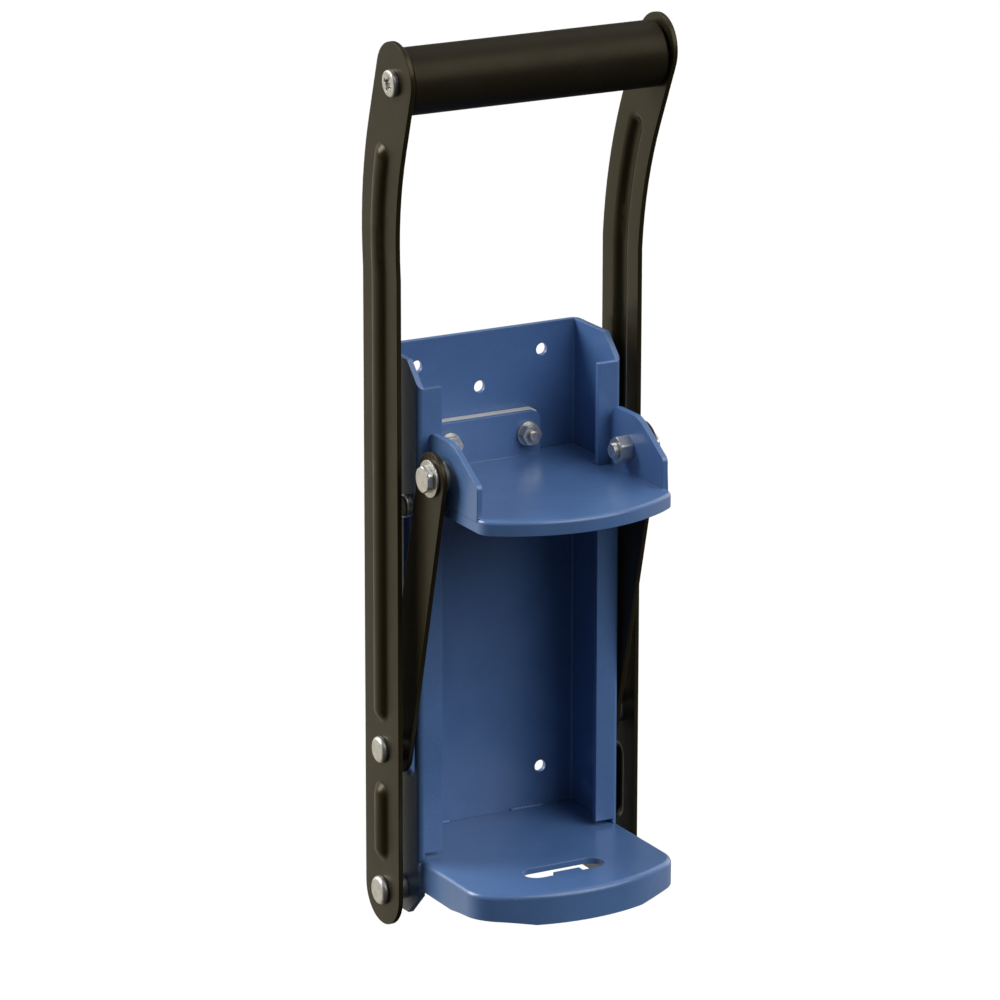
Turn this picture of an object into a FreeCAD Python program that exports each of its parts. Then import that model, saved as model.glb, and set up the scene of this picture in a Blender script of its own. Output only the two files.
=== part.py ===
import FreeCAD, Part
import os
import math
from FreeCAD import Vector, Rotation, Placement

# Wall-mounted lever can crusher.
# Row frame, millimetres: +X to the user's right, -Y out of the wall towards the
# user, +Z up.  The origin is the centre of the four wall screw holes, on the
# wall face of the back plate.  "f" sizes are distances forward of the wall (-Y).

doc = FreeCAD.newDocument("lever_can_crusher")
sheet = doc.addObject("Spreadsheet::Sheet", "Dims")

ROWS = [
    ("frame_half", 46.0, "frame channel, outer half width"),
    ("frame_gauge", 2.5, "frame sheet thickness"),
    ("frame_front", 36.5, "front of the side flanges, from the wall"),
    ("frame_top", 100.0, "top edge of the frame"),
    ("frame_base", -132.0, "bottom edge of the frame"),
    ("lip_width", 8.0, "width of the inward guide lips"),
    ("lip_low", -104.0, "lower end of the guide lips"),
    ("lip_high", 90.0, "upper end of the guide lips"),
    ("corner_cut", 10.0, "corner cut of the flanges"),
    ("wall_half_x", 28.5, "wall holes, half spacing across"),
    ("wall_half_z", 89.0, "wall holes, half spacing up"),
    ("wall_hole_rad", 2.5, "wall screw hole radius"),
    ("hang_hole_z", 77.0, "single locating hole on the centre line"),
    ("floor_z", -106.0, "top of the can floor"),
    ("tray_half", 46.0, "tray half width in front of the frame"),
    ("tray_front", 98.0, "front of the tray"),
    ("tray_arc", 80.0, "radius of the tray's front"),
    ("tray_corner", 14.0, "corner radius of the tray"),
    ("tray_gauge", 2.5, "tray sheet thickness"),
    ("tray_skirt", 13.0, "height of the tray with its skirt"),
    ("relief_rad", 91.0, "radius of the arched reliefs under the skirt's front corners"),
    ("relief_rise", 2.0, "height of the arched reliefs"),
    ("slot_half", 18.0, "bottle opener slot, half length"),
    ("slot_low", 67.0, "bottle opener slot, rear edge"),
    ("slot_rad", 5.5, "bottle opener slot, end radius"),
    ("head_half", 43.0, "press head half width"),
    ("head_front", 98.0, "front of the press head"),
    ("head_arc", 70.0, "radius of the press head's front"),
    ("head_corner", 8.0, "corner radius of the press head"),
    ("head_top", 48.0, "top of the press plate, head raised"),
    ("head_gauge", 2.5, "press head sheet thickness"),
    ("head_skirt", 6.0, "height of the press plate with its skirt"),
    ("neck_half", 34.8, "plate half width between the guide lips"),
    ("ear_high", 73.0, "top of the ears"),
    ("ear_back", 38.0, "rear edge of the ears"),
    ("ear_front", 79.0, "front edge of the ears"),
    ("ear_nose", 60.5, "top of the ears' front edge"),
    ("ear_break", 59.0, "where the ears begin to slope"),
    ("head_pin_f", 51.5, "head pivot, from the wall"),
    ("head_pin_z", 58.0, "head pivot height, head raised"),
    ("guide_f", 28.0, "guide bolts, from the wall"),
    ("guide_z", 40.5, "guide bolt height, head raised"),
    ("guide_travel", 108.4, "travel of the press head"),
    ("guide_slot_rad", 4.1, "guide slot half width"),
    ("pad_half", 24.0, "rear guide pad half width"),
    ("pad_bolt_x", 18.0, "rear guide bolts, half spacing"),
    ("pad_bolt_z", 57.0, "rear guide bolts, height"),
    ("arm_out", 55.4, "outer face of the lever arms"),
    ("arm_gauge", 2.0, "lever arm sheet thickness"),
    ("arm_half", 14.3, "lever arm half width"),
    ("arm_f", 22.0, "lever arm pivots, from the wall"),
    ("arm_pin_z", -122.0, "lever pivot height"),
    ("link_pin_z", -62.0, "lower link pivot height, lever upright"),
    ("bend_low_z", 136.5, "where the arms begin to bend forward"),
    ("bend_rad", 158.5, "bend radius of the arm's centre line"),
    ("bend_deg", 20.7, "bend angle of the arms"),
    ("grip_run", 24.4, "straight run from the bend to the grip's axis"),
    ("grip_crown", 2.2, "run of the arm past the grip's axis"),
    ("rib_rise", 2.7, "stiffening rib height"),
    ("rib_crown", 6.5, "radius over the rib's crown"),
    ("rib_foot", 3.5, "hollow radius at the rib's foot, outside"),
    ("rib_foot_deg", 8.0, "angle left where the foot runs out into the flat"),
    ("rib_low_z", -44.4, "centre of the rib's lower end"),
    ("rib_deg", 17.3, "angle of the bend that the rib follows"),
    ("foot_rib_low", -103.4, "centre of the lower end of the short rib between the pivots"),
    ("foot_rib_high", -81.6, "centre of the upper end of the short rib between the pivots"),
    ("splay_deg", 2.68, "outward lean of the arms above the bend"),
    ("lean_drop", 1.5, "start of the lean below the start of the bend"),
    ("grip_rad", 13.3, "grip radius"),
    ("grip_wall", 1.6, "grip tube wall"),
    ("link_in", 46.7, "inner face of the links"),
    ("link_gauge", 2.0, "link sheet thickness"),
    ("link_half", 10.5, "link half width"),
    ("shoulder_rad", 4.0, "pivot shoulder radius"),
    ("shoulder_play", 0.06, "radial play on the pivot shoulders"),
    ("thread_rad", 3.0, "pivot bolt thread radius"),
    ("thread_hole", 3.1, "clearance hole for the pivot bolt threads"),
]
for i, (name, val, note) in enumerate(ROWS, start=1):
    sheet.set("A%d" % i, name)
    sheet.set("B%d" % i, repr(val))
    sheet.set("C%d" % i, note)
    sheet.setAlias("B%d" % i, name)
doc.recompute()
D = {name: val for name, val, note in ROWS}
NAMES = sorted(D, key=len, reverse=True)


def ex(text):
    """An expression over the sheet: $name stands for the cell with that alias."""
    for n in NAMES:
        text = text.replace("$" + n, "<<Dims>>." + n)
    return text


def bind(obj, prop, text):
    obj.setExpression(prop, ex(str(text)))


sheet.Label = "Dims"


def place(obj, x, y, z, rot=None):
    if rot is not None:
        obj.Placement = Placement(Vector(0, 0, 0), rot)
    bind(obj, "Placement.Base.x", x)
    bind(obj, "Placement.Base.y", y)
    bind(obj, "Placement.Base.z", z)
    return obj


def box(name, x0, x1, f0, f1, z0, z1):
    """Box between two x values, two distances from the wall and two heights."""
    o = doc.addObject("Part::Box", name)
    bind(o, "Length", "(%s) - (%s)" % (x1, x0))
    bind(o, "Width", "(%s) - (%s)" % (f1, f0))
    bind(o, "Height", "(%s) - (%s)" % (z1, z0))
    return place(o, x0, "0 - (%s)" % f1, z0)


ALONG_X = Rotation(Vector(0, 1, 0), 90)
ALONG_Y = Rotation(Vector(1, 0, 0), 90)     # cylinder's axis runs towards -Y


def rod_x(name, rad, x0, x1, f, z):
    o = doc.addObject("Part::Cylinder", name)
    bind(o, "Radius", rad)
    bind(o, "Height", "(%s) - (%s)" % (x1, x0))
    return place(o, x0, "0 - (%s)" % f, z, ALONG_X)


def rod_f(name, rad, x, f0, f1, z):
    o = doc.addObject("Part::Cylinder", name)
    bind(o, "Radius", rad)
    bind(o, "Height", "(%s) - (%s)" % (f1, f0))
    return place(o, x, "0 - (%s)" % f0, z, ALONG_Y)


def rod_z(name, rad, x, f, z0, z1):
    o = doc.addObject("Part::Cylinder", name)
    bind(o, "Radius", rad)
    bind(o, "Height", "(%s) - (%s)" % (z1, z0))
    return place(o, x, "0 - (%s)" % f, z0)


def hex_x(name, rad, x0, x1, f, z):
    o = doc.addObject("Part::Prism", name)
    o.Polygon = 6
    bind(o, "Circumradius", rad)
    bind(o, "Height", "(%s) - (%s)" % (x1, x0))
    return place(o, x0, "0 - (%s)" % f, z, ALONG_X)


def hex_f(name, rad, x, f0, f1, z):
    o = doc.addObject("Part::Prism", name)
    o.Polygon = 6
    bind(o, "Circumradius", rad)
    bind(o, "Height", "(%s) - (%s)" % (f1, f0))
    return place(o, x, "0 - (%s)" % f0, z, ALONG_Y)


def cut(name, base, tool):
    o = doc.addObject("Part::Cut", name)
    o.Base = base
    o.Tool = tool
    return o


def fuse(name, shapes):
    o = doc.addObject("Part::MultiFuse", name)
    o.Shapes = shapes
    o.Refine = True
    return o


def common(name, shapes):
    o = doc.addObject("Part::MultiCommon", name)
    o.Shapes = shapes
    return o


def mirror(name, src):
    o = doc.addObject("Part::Mirroring", name)
    o.Source = src
    o.Base = Vector(0, 0, 0)
    o.Normal = Vector(1, 0, 0)
    return o


def group(name, shapes):
    o = doc.addObject("Part::Compound", name)
    o.Links = shapes
    return o


def round_edges(name, base, pick, rad):
    """Fillet the edges that pick(edge) accepts; pick reads the edge's ends and middle."""
    doc.recompute()
    found = []
    for n, e in enumerate(base.Shape.Edges, start=1):
        if pick(e):
            found.append((n, rad, rad))
    if not found:
        raise RuntimeError(name + ": no edge to round")
    o = doc.addObject("Part::Fillet", name)
    o.Base = base
    o.Edges = found
    doc.recompute()
    if o.Shape.isNull() or not o.Shape.isValid():
        raise RuntimeError(name + ": fillet failed")
    return o


def span(e):
    b = e.BoundBox
    return b.XMin, b.XMax, -b.YMax, -b.YMin, b.ZMin, b.ZMax


def near(a, b, tol=0.05):
    return abs(a - b) < tol


NODES = []


def node(obj, label):
    obj.Label = label
    NODES.append(obj)
    return obj


# ---------------------------------------------------------------- frame channel
# One pressed channel: back plate, two side flanges, a narrow lip turned inwards
# along the front of each flange that the press head runs behind.
ch_out = box("ChannelOuter", "-$frame_half", "$frame_half", "0", "$frame_front",
             "$frame_base", "$frame_top")
ch_in = box("ChannelInner", "-($frame_half - $frame_gauge)", "$frame_half - $frame_gauge",
            "$frame_gauge", "$frame_front + 5", "$frame_base - 5", "$frame_top + 5")
ch_u = cut("ChannelU", ch_out, ch_in)
W_OUT = D["frame_half"]
W_IN = D["frame_half"] - D["frame_gauge"]


def ch_bend(rad_out):
    def pick(e):
        x0, x1, f0, f1, z0, z1 = span(e)
        if not (near(x0, x1) and near(f0, f1) and z1 - z0 > 100):
            return False
        if rad_out:
            return near(abs(x0), W_OUT) and near(f0, 0)
        return near(abs(x0), W_IN) and near(f0, D["frame_gauge"])
    return pick


ch_f1 = round_edges("ChannelBendOuter", ch_u, ch_bend(True), 3.5)
ch_f2 = round_edges("ChannelBendInner", ch_f1, ch_bend(False), 1.0)
lip_r = box("LipRight", "$frame_half - $lip_width - $frame_gauge", "$frame_half - 1",
            "$frame_front - $frame_gauge", "$frame_front", "$lip_low", "$lip_high")
lip_l = mirror("LipLeft", lip_r)
ch_lip = fuse("ChannelLipped", [ch_f2, lip_r, lip_l])


def lip_bend(e):
    x0, x1, f0, f1, z0, z1 = span(e)
    return (near(x0, x1) and near(f0, f1) and z1 - z0 > 100 and near(abs(x0), W_OUT)
            and near(f0, D["frame_front"]))


ch_f3 = round_edges("ChannelLipBend", ch_lip, lip_bend, 2.2)
top_cut = doc.addObject("Part::Box", "FlangeTopCut")
bind(top_cut, "Length", "2 * $frame_half + 10")
bind(top_cut, "Width", "($corner_cut + 4) * 1.41421356")
top_cut.Height = 12
place(top_cut, "-($frame_half + 5)", "0 - ($frame_front + 2)",
      "$frame_top - $corner_cut - 2", Rotation(Vector(1, 0, 0), 45))
low_cut = doc.addObject("Part::Box", "FlangeLowCut")
bind(low_cut, "Length", "2 * $frame_half + 10")
bind(low_cut, "Width", "($corner_cut + 4) * 1.41421356")
low_cut.Height = 12
place(low_cut, "-($frame_half + 5)", "0 - ($frame_front - $corner_cut - 2)",
      "$frame_base - 2", Rotation(Vector(1, 0, 0), 135))
# vertical guide slots of the side flanges
slot_hi = rod_x("GuideSlotHigh", "$guide_slot_rad", "-($frame_half + 2)", "$frame_half + 2",
                "$guide_f", "$guide_z + 0.6")
slot_lo = rod_x("GuideSlotLow", "$guide_slot_rad", "-($frame_half + 2)", "$frame_half + 2",
                "$guide_f", "$guide_z - $guide_travel - 0.6")
slot_mid = box("GuideSlotRun", "-($frame_half + 2)", "$frame_half + 2",
               "$guide_f - $guide_slot_rad", "$guide_f + $guide_slot_rad",
               "$guide_z - $guide_travel - 0.6", "$guide_z + 0.6")
pin_hole = rod_x("LeverPinHoles", "$thread_hole", "-($frame_half + 2)", "$frame_half + 2",
                 "$arm_f", "$arm_pin_z")
wall_holes = []
for sx in ("", "-"):
    for sz in ("", "-"):
        wall_holes.append(rod_f("WallHole", "$wall_hole_rad", sx + "$wall_half_x", "-2",
                                "$frame_gauge + 2", sz + "$wall_half_z"))
wall_holes.append(rod_f("HangHole", "$wall_hole_rad", "0", "-2", "$frame_gauge + 2",
                        "$hang_hole_z"))
ch_tools = fuse("ChannelTools", [top_cut, low_cut, slot_hi, slot_mid, slot_lo, pin_hole] + wall_holes)
node(cut("FrameChannel", ch_f3, ch_tools), "frame_channel")

# ---------------------------------------------------------------- can tray
# Pressed floor the can stands on, its front an arc, with a turned-down skirt.


def dee(tag, half, front, arc, f_back, z0, z1, grow="0"):
    """Rectangle with an arched front, as a solid between two heights."""
    b = box(tag + "Box", "-(%s) + %s" % (half, grow), "(%s) - %s" % (half, grow), f_back,
            "(%s) + 1" % front, z0, z1)
    c = rod_z(tag + "Arc", "(%s) - %s" % (arc, grow), "0", "(%s) - (%s)" % (front, arc), z0, z1)
    return common(tag, [b, c])


def dee_corner(f_back):
    def pick(e):
        x0, x1, f0, f1, z0, z1 = span(e)
        return near(x0, x1) and near(f0, f1) and z1 - z0 > 1 and f0 > f_back + 5 and abs(x0) > 20
    return pick


def top_front(z, f_back):
    """Edges of a pressed plate's top outline, without the straight rear one."""
    def pick(e):
        x0, x1, f0, f1, z0, z1 = span(e)
        return near(z0, z) and near(z1, z) and f1 > f_back + 5 and not (near(f0, f_back) and near(f1, f_back))
    return pick


TRAY_BACK = D["frame_front"] + 0.6
tray_a = dee("TrayOuter", "$tray_half", "$tray_front", "$tray_arc", "$frame_front + 0.6",
             "$floor_z - $tray_skirt", "$floor_z")
tray_b = round_edges("TrayOuterCorners", tray_a, dee_corner(TRAY_BACK), D["tray_corner"])
tray_c = round_edges("TrayOuterPress", tray_b, top_front(D["floor_z"], TRAY_BACK), 2.2)
tray_i = dee("TrayInner", "$tray_half", "$tray_front", "$tray_arc", "$frame_front - 4",
             "$floor_z - $tray_skirt - 3", "$floor_z - $tray_gauge", "$tray_gauge")
# the arc of the inner outline keeps the same centre, so the wall is even
tray_i_box = doc.getObject("TrayInnerArc")
bind(tray_i_box, "Placement.Base.y", "0 - ($tray_front - $tray_arc)")
tray_j = round_edges("TrayInnerCorners", tray_i, dee_corner(TRAY_BACK - 5),
                     D["tray_corner"] - D["tray_gauge"])
tray_k = cut("TrayPressing", tray_c, tray_j)
tray_rear = box("TrayRear", "-($frame_half - $frame_gauge - 0.15)",
                "$frame_half - $frame_gauge - 0.15", "$frame_gauge + 0.15", "$frame_front + 4",
                "$floor_z - $tray_gauge", "$floor_z")


def tray_rear_corner(e):
    x0, x1, f0, f1, z0, z1 = span(e)
    return near(x0, x1) and near(f0, f1) and f1 < 10 and z1 - z0 > 2


tray_rear_r = round_edges("TrayRearCorners", tray_rear, tray_rear_corner, 2.0)
tray_tab = box("TrayRearTab", "-30", "30", "$frame_gauge", "$frame_gauge + 2.5",
               "$floor_z - 14", "$floor_z - 1")
tray_l = fuse("TrayWhole", [tray_k, tray_rear_r, tray_tab])
op_a = rod_z("OpenerEndLeft", "$slot_rad", "-($slot_half - $slot_rad)", "$slot_low + $slot_rad",
             "$floor_z - 5", "$floor_z + 2")
op_b = rod_z("OpenerEndRight", "$slot_rad", "$slot_half - $slot_rad", "$slot_low + $slot_rad",
             "$floor_z - 5", "$floor_z + 2")
op_c = box("OpenerRun", "-($slot_half - $slot_rad)", "$slot_half - $slot_rad", "$slot_low",
           "$slot_low + 2 * $slot_rad", "$floor_z - 5", "$floor_z + 2")
op_d = fuse("OpenerSlot", [op_a, op_b, op_c])
# the tooth that lifts a bottle cap stays in the slot's front edge
op_tooth = box("OpenerTooth", "-6", "6", "$slot_low + 2 * $slot_rad - 3.2",
               "$slot_low + 2 * $slot_rad + 1", "$floor_z - 6", "$floor_z + 3")
op_e = cut("OpenerCut", op_d, op_tooth)


def relief(name, side):
    """Long shallow arch under the skirt's low edge, around one front corner."""
    o = doc.addObject("Part::Cylinder", name)
    bind(o, "Radius", "$relief_rad")
    o.Height = 36
    return place(o, "%d * ($tray_half - 19.2)" % side, "0 - ($tray_front - 25.15)",
                 "$floor_z - $tray_skirt + $relief_rise - $relief_rad",
                 Rotation(Vector(0, 0, 1), 55.0 * side).multiply(ALONG_Y))


tray_tools = fuse("TrayTools", [op_e, relief("SkirtReliefLeft", -1), relief("SkirtReliefRight", 1)])
node(cut("CanTray", tray_l, tray_tools), "can_tray")

# ---------------------------------------------------------------- press head
HEAD_BACK = D["frame_front"] + 0.8
head_a = dee("HeadOuter", "$head_half", "$head_front", "$head_arc", "$frame_front + 0.8",
             "$head_top - $head_skirt", "$head_top")
head_b = round_edges("HeadOuterCorners", head_a, dee_corner(HEAD_BACK), D["head_corner"])


def head_top_edges(e):
    x0, x1, f0, f1, z0, z1 = span(e)
    if not (near(z0, D["head_top"]) and near(z1, D["head_top"])):
        return False
    return f0 > 70 or (near(x0, x1) and f1 > 60)


head_c = round_edges("HeadOuterPress", head_b, head_top_edges, 1.6)
head_i = dee("HeadInner", "$head_half", "$head_front", "$head_arc", "$frame_front - 4",
             "$head_top - $head_skirt - 3", "$head_top - $head_gauge", "$head_gauge")
bind(doc.getObject("HeadInnerArc"), "Placement.Base.y", "0 - ($head_front - $head_arc)")
head_j = round_edges("HeadInnerCorners", head_i, dee_corner(HEAD_BACK - 5),
                     D["head_corner"] - D["head_gauge"])
head_k = cut("HeadPressing", head_c, head_j)
neck = box("HeadNeck", "-$neck_half", "$neck_half", "$frame_front - $frame_gauge - 4",
           "$frame_front + 4", "$head_top - $head_gauge", "$head_top")
rear = box("HeadRear", "-$head_half", "$head_half", "3.5", "$frame_front - $frame_gauge - 0.8",
           "$head_top - $head_gauge", "$head_top")
ear_blk = box("EarBlank", "$head_half - $head_gauge", "$head_half", "$ear_back", "$ear_front",
              "$head_top - 1.5", "$ear_high")
ear_cut = doc.addObject("Part::Box", "EarSlopeCut")
bind(ear_cut, "Length", "$head_gauge + 4")
ear_cut.Width = 60
ear_cut.Height = 30
slope = math.degrees(math.atan2(D["ear_high"] - D["ear_nose"], D["ear_front"] - D["ear_break"]))
# the cutting block's lower face runs along the slope, its upper end 20 mm behind the break
back_up = 20.0
place(ear_cut, "$head_half - $head_gauge - 2",
      "0 - ($ear_break + (60 - %f) * cos(%f))" % (back_up, slope),
      "$ear_high - (60 - %f) * sin(%f)" % (back_up, slope), Rotation(Vector(1, 0, 0), slope))
ear_keep = box("EarSlopeKeep", "$head_half - $head_gauge - 3", "$head_half + 3",
               "$ear_back - 30", "$ear_break", "$head_top - 2", "$ear_high + 40")
ear_cut2 = cut("EarSlopeTool", ear_cut, ear_keep)
ear_s = cut("EarSloped", ear_blk, ear_cut2)


def ear_corner(f, z):
    def pick(e):
        x0, x1, f0, f1, z0, z1 = span(e)
        return x1 - x0 > 2 and near(f0, f) and near(f1, f) and near(z0, z, 0.2) and near(z1, z, 0.2)
    return pick


ear_1 = round_edges("EarRoundBack", ear_s, ear_corner(D["ear_back"], D["ear_high"]), 5.0)
ear_2 = round_edges("EarRoundBreak", ear_1, ear_corner(D["ear_break"], D["ear_high"]), 14.0)
ear_3 = round_edges("EarRoundNose", ear_2, ear_corner(D["ear_front"], D["ear_nose"]), 3.0)
tab = box("GuideTab", "$head_half - $head_gauge", "$head_half", "$guide_f - 6.0",
          "$guide_f + 5.0", "$guide_z - 5.5", "$head_top - 1.5")


def tab_corner(e):
    x0, x1, f0, f1, z0, z1 = span(e)
    return x1 - x0 > 2 and near(z0, D["guide_z"] - 5.5) and near(z1, D["guide_z"] - 5.5) and f1 - f0 < 0.1


tab_r = round_edges("GuideTabRound", tab, tab_corner, 4.0)
side = fuse("HeadSideRight", [ear_3, tab_r])
side_l = mirror("HeadSideLeft", side)
upright = box("HeadUpright", "-$pad_half", "$pad_half", "7.2", "9.7", "$head_top - 1", "66")


def upright_corner(e):
    x0, x1, f0, f1, z0, z1 = span(e)
    return f1 - f0 > 2 and near(z0, 66) and near(z1, 66) and near(x0, x1)


upright_r = round_edges("HeadUprightRound", upright, upright_corner, 4.0)
head_l = fuse("HeadWhole", [head_k, neck, rear, side, side_l, upright_r])
hp_hole = rod_x("HeadPinHoles", "$thread_hole", "-($head_half + 2)", "$head_half + 2",
                "$head_pin_f", "$head_pin_z")
hg_hole = rod_x("HeadGuideHoles", "2.6", "-($head_half + 2)", "$head_half + 2", "$guide_f",
                "$guide_z")
hb_r = rod_f("PadHoleRight", "2.1", "$pad_bolt_x", "5", "12", "$pad_bolt_z")
hb_l = rod_f("PadHoleLeft", "2.1", "-$pad_bolt_x", "5", "12", "$pad_bolt_z")
head_tools = fuse("HeadTools", [hp_hole, hg_hole, hb_r, hb_l])
node(cut("PressHead", head_l, head_tools), "press_head")

# rear guide pad and its two screws
pad_b = box("PadBlank", "-$pad_half", "$pad_half", "2.8", "7.15", "$head_top + 0.15", "66")


def pad_edge(e):
    x0, x1, f0, f1, z0, z1 = span(e)
    return f1 - f0 > 2 and near(x0, x1) and near(z0, z1)


pad_r = round_edges("PadRound", pad_b, pad_edge, 2.5)
ph_r = rod_f("PadBoreRight", "2.1", "$pad_bolt_x", "1", "9", "$pad_bolt_z")
ph_l = rod_f("PadBoreLeft", "2.1", "-$pad_bolt_x", "1", "9", "$pad_bolt_z")
pc_r = rod_f("PadSinkRight", "4.3", "$pad_bolt_x", "1", "5.2", "$pad_bolt_z")
pc_l = rod_f("PadSinkLeft", "4.3", "-$pad_bolt_x", "1", "5.2", "$pad_bolt_z")
pad_tools = fuse("PadTools", [ph_r, ph_l, pc_r, pc_l])
node(cut("RearGuidePad", pad_r, pad_tools), "rear_guide_pad")


def pad_screw(tag, x):
    a = rod_f(tag + "Shank", "2.0", x, "3.4", "16.2", "$pad_bolt_z")
    b = rod_f(tag + "Head", "4.1", x, "3.1", "5.1", "$pad_bolt_z")
    return fuse(tag, [a, b])


node(group("RearGuideScrews", [pad_screw("PadScrewRight", "$pad_bolt_x"),
                               pad_screw("PadScrewLeft", "-$pad_bolt_x")]), "rear_guide_screws")


def pad_washer(tag, x):
    a = rod_f(tag + "Ring", "5.0", x, "9.75", "10.75", "$pad_bolt_z")
    b = rod_f(tag + "Eye", "2.1", x, "9", "12", "$pad_bolt_z")
    return cut(tag, a, b)


node(group("RearGuideWashers", [pad_washer("PadWasherRight", "$pad_bolt_x"),
                                pad_washer("PadWasherLeft", "-$pad_bolt_x")]), "rear_guide_washers")


def chamfered_nut(tag, raw, eye, dome):
    """Hexagon with its corners turned off on the outer face and a plain bore."""
    c = common(tag + "Turned", [raw, dome])
    return cut(tag, c, eye)


def pad_nut(tag, x):
    a = hex_f(tag + "Hex", "4.6", x, "10.8", "14.2", "$pad_bolt_z")
    d = rod_f(tag + "Dome", "4.4", x, "10.8", "14.2", "$pad_bolt_z")
    b = rod_f(tag + "Eye", "2.03", x, "10", "15", "$pad_bolt_z")
    return chamfered_nut(tag, a, b, d)


node(group("RearGuideNuts", [pad_nut("PadNutRight", "$pad_bolt_x"),
                             pad_nut("PadNutLeft", "-$pad_bolt_x")]), "rear_guide_nuts")

# ---------------------------------------------------------------- side guides


def rim_fillet(name, obj, x_out, rad, big):
    """Round the outer rim, at x_out, of a head that lies along X."""
    def pick(e):
        x0, x1, f0, f1, z0, z1 = span(e)
        return near(x0, x_out) and near(x1, x_out) and f1 - f0 > big
    return round_edges(name, obj, pick, rad)


gb_head = rod_x("GuideBoltHeadRaw", "4.7", "$frame_half + 0.35", "$frame_half + 3.2", "$guide_f",
                "$guide_z")
gb_head_r = rim_fillet("GuideBoltHeadRound", gb_head, D["frame_half"] + 3.2, 1.2, 5)
gb_shank = rod_x("GuideBoltShank", "2.5", "$head_half - $head_gauge - 5.6", "$frame_half + 1",
                 "$guide_f", "$guide_z")
gb = fuse("GuideBoltRight", [gb_head_r, gb_shank])
node(group("GuideBolts", [gb, mirror("GuideBoltLeft", gb)]), "guide_bolts")
gu_a = rod_x("GuideBushRing", "4.0", "$head_half + 0.1", "$frame_half + 0.3", "$guide_f", "$guide_z")
gu_b = rod_x("GuideBushEye", "2.53", "$head_half", "$frame_half + 1", "$guide_f", "$guide_z")
gu = cut("GuideBushRight", gu_a, gu_b)
node(group("GuideBushes", [gu, mirror("GuideBushLeft", gu)]), "guide_bushes")
gn_a = hex_x("GuideNutHex", "4.6", "$head_half - $head_gauge - 4.6", "$head_half - $head_gauge - 0.6",
             "$guide_f", "$guide_z")
gn_d = rod_x("GuideNutTurn", "4.4", "$head_half - $head_gauge - 4.6",
             "$head_half - $head_gauge - 0.6", "$guide_f", "$guide_z")
gn_b = rod_x("GuideNutEye", "2.53", "$head_half - $head_gauge - 6", "$head_half", "$guide_f", "$guide_z")
gn = chamfered_nut("GuideNutRight", gn_a, gn_b, gn_d)
node(group("GuideNuts", [gn, mirror("GuideNutLeft", gn)]), "guide_nuts")

# ---------------------------------------------------------------- head pivots
LINK_OUT = "$link_in + $link_gauge"
hp_hex = hex_x("HeadBoltHex", "5.8", LINK_OUT + " + 1.25", LINK_OUT + " + 4.0", "$head_pin_f",
               "$head_pin_z")
hp_dome = rod_x("HeadBoltDome", "5.5", LINK_OUT + " + 1.25", LINK_OUT + " + 4.0", "$head_pin_f",
                "$head_pin_z")
hp_dome_r = rim_fillet("HeadBoltDomeRound", hp_dome, D["link_in"] + D["link_gauge"] + 4.0, 0.8, 5)
hp_head = common("HeadBoltHead", [hp_hex, hp_dome_r])
hp_sh = rod_x("HeadBoltShoulder", "$shoulder_rad", "$link_in - 0.05", LINK_OUT + " + 1.3",
              "$head_pin_f", "$head_pin_z")
hp_th = rod_x("HeadBoltThread", "$thread_rad", "$head_half - $head_gauge - 7.6", "$link_in + 1",
              "$head_pin_f", "$head_pin_z")
hp = fuse("HeadBoltRight", [hp_head, hp_sh, hp_th])
node(group("HeadPivotBolts", [hp, mirror("HeadBoltLeft", hp)]), "head_pivot_bolts")


def ring_x(tag, rad, eye, x0, x1, f, z):
    a = rod_x(tag + "Ring", rad, x0, x1, f, z)
    b = rod_x(tag + "Eye", eye, "(%s) - 1" % x0, "(%s) + 1" % x1, f, z)
    r = cut(tag + "Right", a, b)
    return group(tag, [r, mirror(tag + "Left", r)])


node(ring_x("HeadPivotWashers", "7.5", "$shoulder_rad + 0.05", LINK_OUT + " + 0.2",
            LINK_OUT + " + 1.2", "$head_pin_f", "$head_pin_z"), "head_pivot_washers")
node(ring_x("HeadPivotSpacers", "6.5", "$thread_rad + 0.05", "$head_half + 0.05",
            "$link_in - 0.1", "$head_pin_f", "$head_pin_z"), "head_pivot_spacers")
hn_a = hex_x("HeadNutHex", "5.8", "$head_half - $head_gauge - 5.6",
             "$head_half - $head_gauge - 0.05", "$head_pin_f", "$head_pin_z")
hn_d = rod_x("HeadNutTurn", "5.5", "$head_half - $head_gauge - 5.6",
             "$head_half - $head_gauge - 0.05", "$head_pin_f", "$head_pin_z")
hn_b = rod_x("HeadNutEye", "$thread_rad + 0.03", "$head_half - $head_gauge - 7", "$head_half",
             "$head_pin_f", "$head_pin_z")
hn = chamfered_nut("HeadNutRight", hn_a, hn_b, hn_d)
node(group("HeadPivotNuts", [hn, mirror("HeadNutLeft", hn)]), "head_pivot_nuts")

# ---------------------------------------------------------------- lever arms
# Each arm is one pressed strip: straight up to bend_low_z, then bent forward in
# its own plane, and from lean_drop lower leaning outwards by splay_deg.  The
# upper part is built upright and then leaned about the strip's middle plane,
# and both parts are mitred on the plane halfway between them.
ARM_IN = "$arm_out - $arm_gauge"
MID = "($arm_out - $arm_gauge / 2)"
CX_BEND = "($arm_f + $bend_rad)"                 # bend centre, forward of the arm
LEAN_Z = "($bend_low_z - $lean_drop)"
TOP_F = "(%s - $bend_rad * cos($bend_deg) + %s * sin($bend_deg))"
UP = "($bend_rad * sin($bend_deg) + %s * cos($bend_deg))"
GRIP_F = TOP_F % (CX_BEND, "$grip_run")
GRIP_UP = UP % "$grip_run"
GRIP_Z = "(%s + (%s + $lean_drop) * cos($splay_deg))" % (LEAN_Z, GRIP_UP)
GRIP_MID = "(%s + (%s + $lean_drop) * sin($splay_deg))" % (MID, GRIP_UP)
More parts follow.
